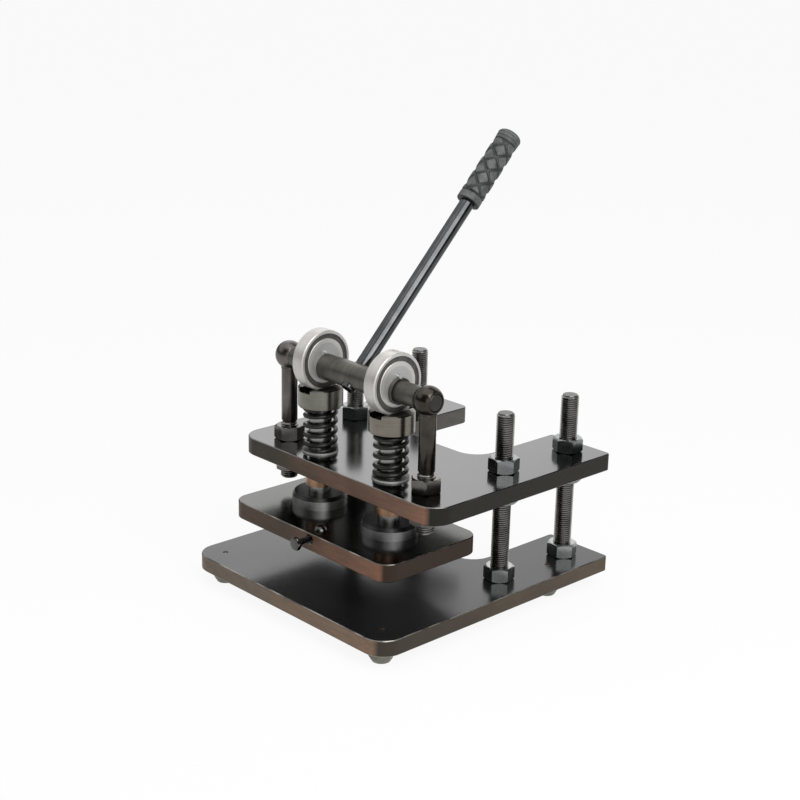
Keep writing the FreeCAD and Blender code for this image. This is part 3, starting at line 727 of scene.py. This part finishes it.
finishes = {
    "base": plate_finish(
        "base_black", ior=1.43, sheen=(0.008, 0.008, 0.008), metal=0.0, smooth=0.14,
        front=((0.125, 0.092, 0.060), (0.20, 0.12, 0.072)),
        side=((0.030, 0.020, 0.012), (0.075, 0.053, 0.031)),
        inner=(0.10, 0.09, 0.075), rim=(0.42, 0.40, 0.36)),
    "top": plate_finish(
        "top_black", ior=1.34, sheen=(0.132, 0.131, 0.132), metal=1.0, smooth=0.12,
        front=((0.026, 0.020, 0.010), (0.21, 0.105, 0.066)),
        side=((0.006, 0.006, 0.003), (0.009, 0.008, 0.004)),
        inner=(0.10, 0.094, 0.085), rim=(0.24, 0.23, 0.21)),
    "press": plate_finish(
        "press_black", ior=1.34, sheen=(0.072, 0.072, 0.068), metal=1.0, smooth=0.11,
        front=((0.032, 0.022, 0.012), (0.20, 0.095, 0.055)),
        side=((0.026, 0.012, 0.005), (0.022, 0.011, 0.005)),
        inner=(0.03, 0.02, 0.012), rim=(0.36, 0.33, 0.29)),
    "black": steel_finish("blackened_steel", (0.20, 0.21, 0.21), (0.28, 0.29, 0.29), (0.14, 0.22)),
    # Painted shade on thread ends, which keep 0.3 of their colour
    "thread": steel_finish("thread_steel", (0.15, 0.148, 0.142), (0.29, 0.286, 0.275), (0.2, 0.32), ends=0.3),
    # Painted shade on the end faces and bevels of flanges, caps and the shaft
    "flange_left": turned_finish(
        "flange_left", (0.42, 0.43, 0.42), (0.56, 0.57, 0.56), (0.30, 0.40),
        PLUNGER_PLACES["left"], "Z", depth=0.08 * MM, ends=0.12),
    "flange_right": turned_finish(
        "flange_right", (0.38, 0.375, 0.385), (0.50, 0.495, 0.505), (0.30, 0.40),
        PLUNGER_PLACES["right"], "Z", depth=0.08 * MM, ends=0.12),
    "cap_left": turned_finish(
        "cap_left", (0.15, 0.149, 0.125), (0.23, 0.226, 0.195), (0.18, 0.28),
        PLUNGER_PLACES["left"], "Z", depth=0.04 * MM, ends=0.5),
    "cap_right": turned_finish(
        "cap_right", (0.18, 0.162, 0.135), (0.27, 0.248, 0.21), (0.18, 0.28),
        PLUNGER_PLACES["right"], "Z", depth=0.04 * MM, ends=0.5),
    "shaft": turned_finish(
        "shaft_steel", (0.062, 0.058, 0.050), (0.125, 0.117, 0.101), (0.32, 0.42),
        SHAFT_CENTRE, "X", metallic=0.6, ends=0.3),
    # Painted light: the left eye bolt's steel is a lighter copy of the right one's, as it is lit more from
    # the left
    "eye_left": steel_finish("eye_steel_left", (0.085, 0.077, 0.073), (0.175, 0.157, 0.148), (0.24, 0.36)),
    "eye_right": steel_finish("eye_steel_right", (0.042, 0.037, 0.032), (0.080, 0.071, 0.062), (0.16, 0.28)),
    "ring": turned_finish(
        "ring_steel", (0.50, 0.480, 0.458), (0.64, 0.62, 0.595), (0.34, 0.46),
        ECCENTRIC_CENTRE, "X", depth=0.01 * MM, metallic=0.6),
    "hub": turned_finish(
        "hub_steel", (0.43, 0.435, 0.425), (0.53, 0.535, 0.52), (0.42, 0.55),
        SHAFT_CENTRE, "X", depth=0.01 * MM, metallic=0.7),
    # Painted shade on the rod above 0.15 m, inside its spring
    "rod": steel_finish(
        "ground_steel", (0.42, 0.42, 0.41), (0.58, 0.58, 0.57), (0.24, 0.34), oiled=(0.15, 0.58)),
    "pin": steel_finish("pin_steel", (0.42, 0.42, 0.41), (0.58, 0.58, 0.57), (0.24, 0.34)),
    "screw": steel_finish("screw_steel", (0.06, 0.06, 0.058), (0.11, 0.11, 0.105), (0.14, 0.24)),
    "lever": steel_finish("lever_steel", (0.060, 0.061, 0.063), (0.095, 0.097, 0.10), (0.12, 0.18)),
    "spring": steel_finish(
        "spring_steel", (0.016, 0.016, 0.014), (0.040, 0.040, 0.036), (0.24, 0.36), metallic=0.7),
    # Painted shade on the washer's top face, which keeps 0.1 of its colour
    "washer": steel_finish(
        "washer_steel", (0.50, 0.50, 0.49), (0.66, 0.66, 0.65), (0.35, 0.5), metallic=0.4, ends=0.1),
    "bronze": steel_finish("bush_bronze", (0.25, 0.135, 0.075), (0.46, 0.29, 0.19), (0.24, 0.36)),
    "zinc": steel_finish("zinc_steel", (0.12, 0.12, 0.10), (0.23, 0.23, 0.195), (0.30, 0.45)),
    "lock_nut": steel_finish("lock_nut_steel", (0.30, 0.31, 0.31), (0.42, 0.43, 0.43), (0.24, 0.34)),
    "eye_nut": steel_finish("eye_nut_steel", (0.10, 0.095, 0.088), (0.17, 0.163, 0.15), (0.15, 0.24)),
    "cage": steel_finish("cage_steel", (0.45, 0.45, 0.44), (0.6, 0.6, 0.58), (0.25, 0.35)),
    "seal": rubber_finish("seal_rubber", (0.035, 0.033, 0.03), (0.08, 0.076, 0.07), (0.30, 0.45)),
    "grip": rubber_finish(
        "grip_rubber", (0.034, 0.036, 0.034), (0.112, 0.122, 0.119), (0.42, 0.58),
        grooves=(SHAFT_CENTRE, LEVER_AXIS, 12.9 * MM, 13.85 * MM)),
}

# Finish of a node by the start of its name; {side} stands for the node's own side
FINISH_STARTS = (
    ("base_plate", "base"), ("top_plate", "top"), ("press_plate", "press"),
    ("base_lock_nuts", "lock_nut"), ("foot_", "zinc"), ("bush_", "bronze"), ("spring_washer_", "washer"),
    ("plunger_flange_", "flange_{side}"), ("plunger_cap_", "cap_{side}"), ("plunger_rod_", "rod"),
    ("cam_shaft", "shaft"), ("shaft_collar_", "shaft"), ("eccentric_hub_", "hub"), ("hub_pin_", "pin"),
    ("bearing_seals_", "seal"), ("bearing_cage_", "cage"), ("bearing_", "ring"),
    ("eye_bolt_left", "eye_left"), ("eye_bolt_right", "eye_right"), ("eye_", "eye_nut"),
    ("lever_rod", "lever"), ("die_", "screw"))


def finish_of(node):
    """Finish of a node that keeps its own mesh; what no start names is blackened steel."""
    for start, finish in FINISH_STARTS:
        if node.startswith(start):
            return finishes[finish.format(side=node.rsplit("_", 1)[1])]
    return finishes["black"]


for name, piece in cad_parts.items():
    for slot in piece.material_slots:
        slot.material = finish_of(name)


# Columns

def make_column(corner):
    """Threaded column in place of the plain one."""
    node = "column_" + corner
    low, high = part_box(node)
    foot = Vector(((low.x + high.x) / 2, (low.y + high.y) / 2, low.z))
    column = threaded_bar("column_thread_" + corner, high.x - low.x, high.z - low.z, COLUMN_CHAMFERS, foot)
    dress(column, "base", finishes["thread"], "black_steel", node)


for corner in CORNERS:
    make_column(corner)


# Eye bolts

def make_eye_bolt(side):
    """Eye bolt: the node's own head and shank with a cut thread below its relief."""
    node = "eye_bolt_" + side
    foot = middle_of(node)
    foot.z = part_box(node)[0].z
    cut_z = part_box("eye_bolt_top_nuts")[1].z + EYE_THREAD_OVER_NUT
    head = trimmed_copy("eye_bolt_head_" + side, node, (0, 0, cut_z), -Z)
    dress(head, "upper_frame", finishes["eye_" + side], "dark_steel", node)
    name = "eye_bolt_thread_" + side
    thread = threaded_bar(name, EYE_THREAD, cut_z - foot.z, EYE_THREAD_CHAMFERS, foot)
    dress(thread, "upper_frame", finishes["thread"], "dark_steel")


for side in SIDES:
    make_eye_bolt(side)


# Die clamp screw

def make_clamp_screw():
    """Clamp screw: the node's own hexagon head with a cut thread."""
    node = "die_clamp_screw"
    low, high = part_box(node)
    start = middle_of(node)
    start.y = low.y + CLAMP_HEAD_HEIGHT
    head = trimmed_copy("clamp_screw_head", node, (0, start.y, 0), Y)
    dress(head, "clamp_screw", finishes["screw"], "black_steel", node)
    length = high.y - start.y
    shank = threaded_bar("clamp_screw_thread", CLAMP_THREAD, length, CLAMP_THREAD_CHAMFERS, start, Y)
    dress(shank, "clamp_screw", finishes["screw"], "black_steel")


make_clamp_screw()


# Return springs

def spring_rise(turn, turns, height, wire):
    """Height of the wire's middle over its first point, closed and ground at both ends."""
    open_pitch = (height - wire - 2 * SPRING_CLOSED_PITCH) / SPRING_ACTIVE_TURNS
    pitches = [SPRING_CLOSED_PITCH] + [open_pitch] * SPRING_ACTIVE_TURNS + [SPRING_CLOSED_PITCH]
    below = min(int(turn), turns - 1)
    rise = sum(pitches[:below]) + (turn - below) * pitches[below]
    from_end = min(turn, turns - turn) / SPRING_GROUND_TURNS
    sunk = SPRING_GROUND * max(0.0, 1.0 - from_end) ** 2
    return rise - sunk if turn < turns / 2 else rise + sunk


def make_spring(side):
    """Coil spring with ground ends."""
    node = "return_spring_" + side
    axis = PLUNGER_PLACES[side]
    points = points_of(node)
    spread = np.hypot(points[:, 0] - axis.x, points[:, 1] - axis.y)
    wire = spread.max() - spread.min()
    mean = (spread.max() + spread.min()) / 2
    low = points[:, 2].min()
    height = points[:, 2].max() - low
    start = math.radians(SPRING_START_ANGLES[side])
    turns = SPRING_ACTIVE_TURNS + 2
    rings = turns * SPRING_TURN_STEPS + 1
    vertices = []
    for i in range(rings):
        turn = i / SPRING_TURN_STEPS
        angle = start + 2 * math.pi * turn
        outward = Vector((math.cos(angle), math.sin(angle), 0))
        rise = spring_rise(turn, turns, height, wire)
        middle = Vector((axis.x, axis.y, low + wire / 2 + rise)) + outward * mean
        for k in range(SPRING_WIRE_SIDES):
            around = 2 * math.pi * k / SPRING_WIRE_SIDES
            point = middle + outward * (wire / 2 * math.cos(around)) + Z * (wire / 2 * math.sin(around))
            point.z = min(max(point.z, low), low + height)
            vertices.append(point)
    faces = ring_faces(rings, SPRING_WIRE_SIDES)
    spring = new_object("spring_coil_" + side, vertices, faces, SPRING_SMOOTH)
    dress(spring, "upper_frame", finishes["spring"], "spring_steel", node)
    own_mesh(spring)


for side in SIDES:
    make_spring(side)


# Lever grip

def grip_relief(angle, along):
    """Share of the full height at a point of the grip's body: 0 in the grooves, 1 on the pads."""
    column_width = 2 * math.pi / GRIP_COLUMNS
    column = int(math.floor(angle / column_width))
    distances = []
    for near_column in (column - 1, column, column + 1, column + 2):
        offset = 0.5 * (near_column % 2)
        row = round(along / GRIP_ROW_PITCH - offset)
        for near_row in (row - 1, row, row + 1):
            sideways = (angle - near_column * column_width) * GRIP_BODY_RADIUS
            upwards = along - (near_row + offset) * GRIP_ROW_PITCH
            distances.append(math.hypot(sideways, upwards * GRIP_ROW_SQUEEZE))
    nearest, second = sorted(distances)[:2]
    rise = min(1.0, max(0.0, ((second - nearest) / 2 - GRIP_GROOVE_FLOOR) / GRIP_GROOVE_SLOPE))
    rise = rise * rise * (3 - 2 * rise)
    return rise * (1.0 - GRIP_PAD_DOME * min(1.0, nearest / GRIP_PAD_REACH) ** 2)


def grip_radius(z, angle, length, rim):
    """Outer radius of the grip between its rounded ends."""
    rim_start = length - GRIP_RIM
    if z < GRIP_COLLAR:
        from_neck = (z - GRIP_COLLAR + GRIP_NECK_INSET) / GRIP_NECK_WIDTH
        return GRIP_COLLAR_RADIUS - GRIP_NECK_DEPTH * math.exp(-from_neck ** 2)
    if z > rim_start:
        start = GRIP_BODY_RADIUS - GRIP_RIM_START
        flare = min(1.0, (z - rim_start) / GRIP_RIM) ** GRIP_RIM_FLARE
        wave = math.cos((z - rim_start) * 2 * math.pi / GRIP_RING_PITCH)
        return start + (rim - start) * flare - GRIP_RING_DEPTH * max(0.0, wave) ** 3
    fade = min(1.0, (z - GRIP_COLLAR) / GRIP_FADE, (rim_start - z) / GRIP_FADE)
    return GRIP_BODY_RADIUS - GRIP_GROOVE * (1 - grip_relief(angle, z) * fade)


def grip_rows(length, bore, rim):
    """Height and radius of each ring of the grip; a radius of None is left to grip_radius."""
    corner_height, corner_drop = GRIP_LIP_CORNER
    rows = [
        (0.0, bore), (0.0, GRIP_COLLAR_RADIUS - GRIP_LIP),
        (corner_height, GRIP_COLLAR_RADIUS - corner_drop), (GRIP_LIP, GRIP_COLLAR_RADIUS)]
    for i in range(1, GRIP_STEPS + 1):
        rows.append((GRIP_LIP + i * (length - GRIP_LIP - GRIP_END_ROUND) / GRIP_STEPS, None))
    for i in range(1, GRIP_END_STEPS + 1):
        turn = math.pi / 2 * i / GRIP_END_STEPS
        sunk = GRIP_END_ROUND * (1 - math.cos(turn))
        rows.append((length - GRIP_END_ROUND * (1 - math.sin(turn)), rim - sunk))
    return rows + [(length, 0.0)]


def make_grip():
    """Rubber grip, closed at its end."""
    points = points_of("lever_grip") - np.array(SHAFT_CENTRE)
    along = points @ np.array(LEVER_AXIS)
    across = np.linalg.norm(points - np.outer(along, LEVER_AXIS), axis=1)
    low = along.min()
    length = along.max() - low
    rim = across.max()
    rows = grip_rows(length, across.min(), rim)
    vertices = []
    for z, fixed in rows:
        for k in range(GRIP_SIDES):
            angle = 2 * math.pi * k / GRIP_SIDES
            radius = grip_radius(z, angle, length, rim) if fixed is None else fixed
            vertices.append((radius * math.cos(angle), radius * math.sin(angle), z))
    vertices = placed(vertices, SHAFT_CENTRE + LEVER_AXIS * low, LEVER_AXIS)
    grip = new_object("grip_sleeve", vertices, ring_faces(len(rows), GRIP_SIDES), GRIP_SMOOTH)
    dress(grip, "camshaft", finishes["grip"], "grip_rubber", "lever_grip")


make_grip()
